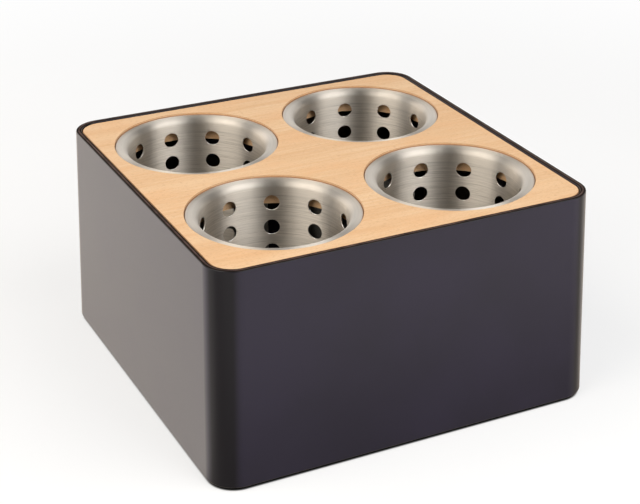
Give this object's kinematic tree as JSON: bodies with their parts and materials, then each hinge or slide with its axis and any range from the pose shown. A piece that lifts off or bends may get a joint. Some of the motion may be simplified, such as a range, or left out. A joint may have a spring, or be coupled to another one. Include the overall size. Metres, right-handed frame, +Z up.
{
  "type": "utensil caddy",
  "caption": "Square countertop cutlery caddy: black metal housing with slightly spread walls, a beech top board and perforated steel cups that lift out of stepped round holes.",
  "frame": {"origin": "middle of the footprint, on the surface the feet stand on", "axes": "+Z up, the front at -Y, the left side at -X"},
  "size_m": [0.281, 0.281, 0.152],
  "materials": {
    "black_housing": "satin black powder coat",
    "black_base": "satin black powder coat",
    "black_bracket": "satin black powder coat",
    "beech": "pale oiled beech",
    "cup_steel": "brushed stainless steel",
    "foot_rubber": "matt black rubber",
    "fixing_steel": "bright zinc-plated steel"
  },
  "bodies": {
    "housing": {"outer_shell": "black_housing", "beech_top": "beech", "base_panel": "black_base", "edge_strip": "foot_rubber", "board_bracket_front": "black_bracket", "board_bracket_right": "black_bracket", "board_bracket_back": "black_bracket", "board_bracket_left": "black_bracket", "base_bracket_front": "black_bracket", "base_bracket_right": "black_bracket", "base_bracket_back": "black_bracket", "base_bracket_left": "black_bracket", "rubber_foot_front_left": "foot_rubber", "rubber_foot_front_right": "foot_rubber", "rubber_foot_back_left": "foot_rubber", "rubber_foot_back_right": "foot_rubber", "board_screws": "fixing_steel", "base_screws": "fixing_steel", "foot_screws": "fixing_steel", "foot_washers": "fixing_steel", "foot_nuts": "fixing_steel"},
    "cup_front_left": {"cutlery_cup_front_left": "cup_steel"},
    "cup_front_right": {"cutlery_cup_front_right": "cup_steel"},
    "cup_back_left": {"cutlery_cup_back_left": "cup_steel"},
    "cup_back_right": {"cutlery_cup_back_right": "cup_steel"}
  },
  "joints": [
    {"name": "lift_cup_front_left", "type": "slide", "parent": "housing", "child": "cup_front_left", "axis": [0, 0, 1], "range_m": [0, 0.15]},
    {"name": "lift_cup_front_right", "type": "slide", "parent": "housing", "child": "cup_front_right", "axis": [0, 0, 1], "range_m": [0, 0.15]},
    {"name": "lift_cup_back_left", "type": "slide", "parent": "housing", "child": "cup_back_left", "axis": [0, 0, 1], "range_m": [0, 0.15]},
    {"name": "lift_cup_back_right", "type": "slide", "parent": "housing", "child": "cup_back_right", "axis": [0, 0, 1], "range_m": [0, 0.15]}
  ]
}
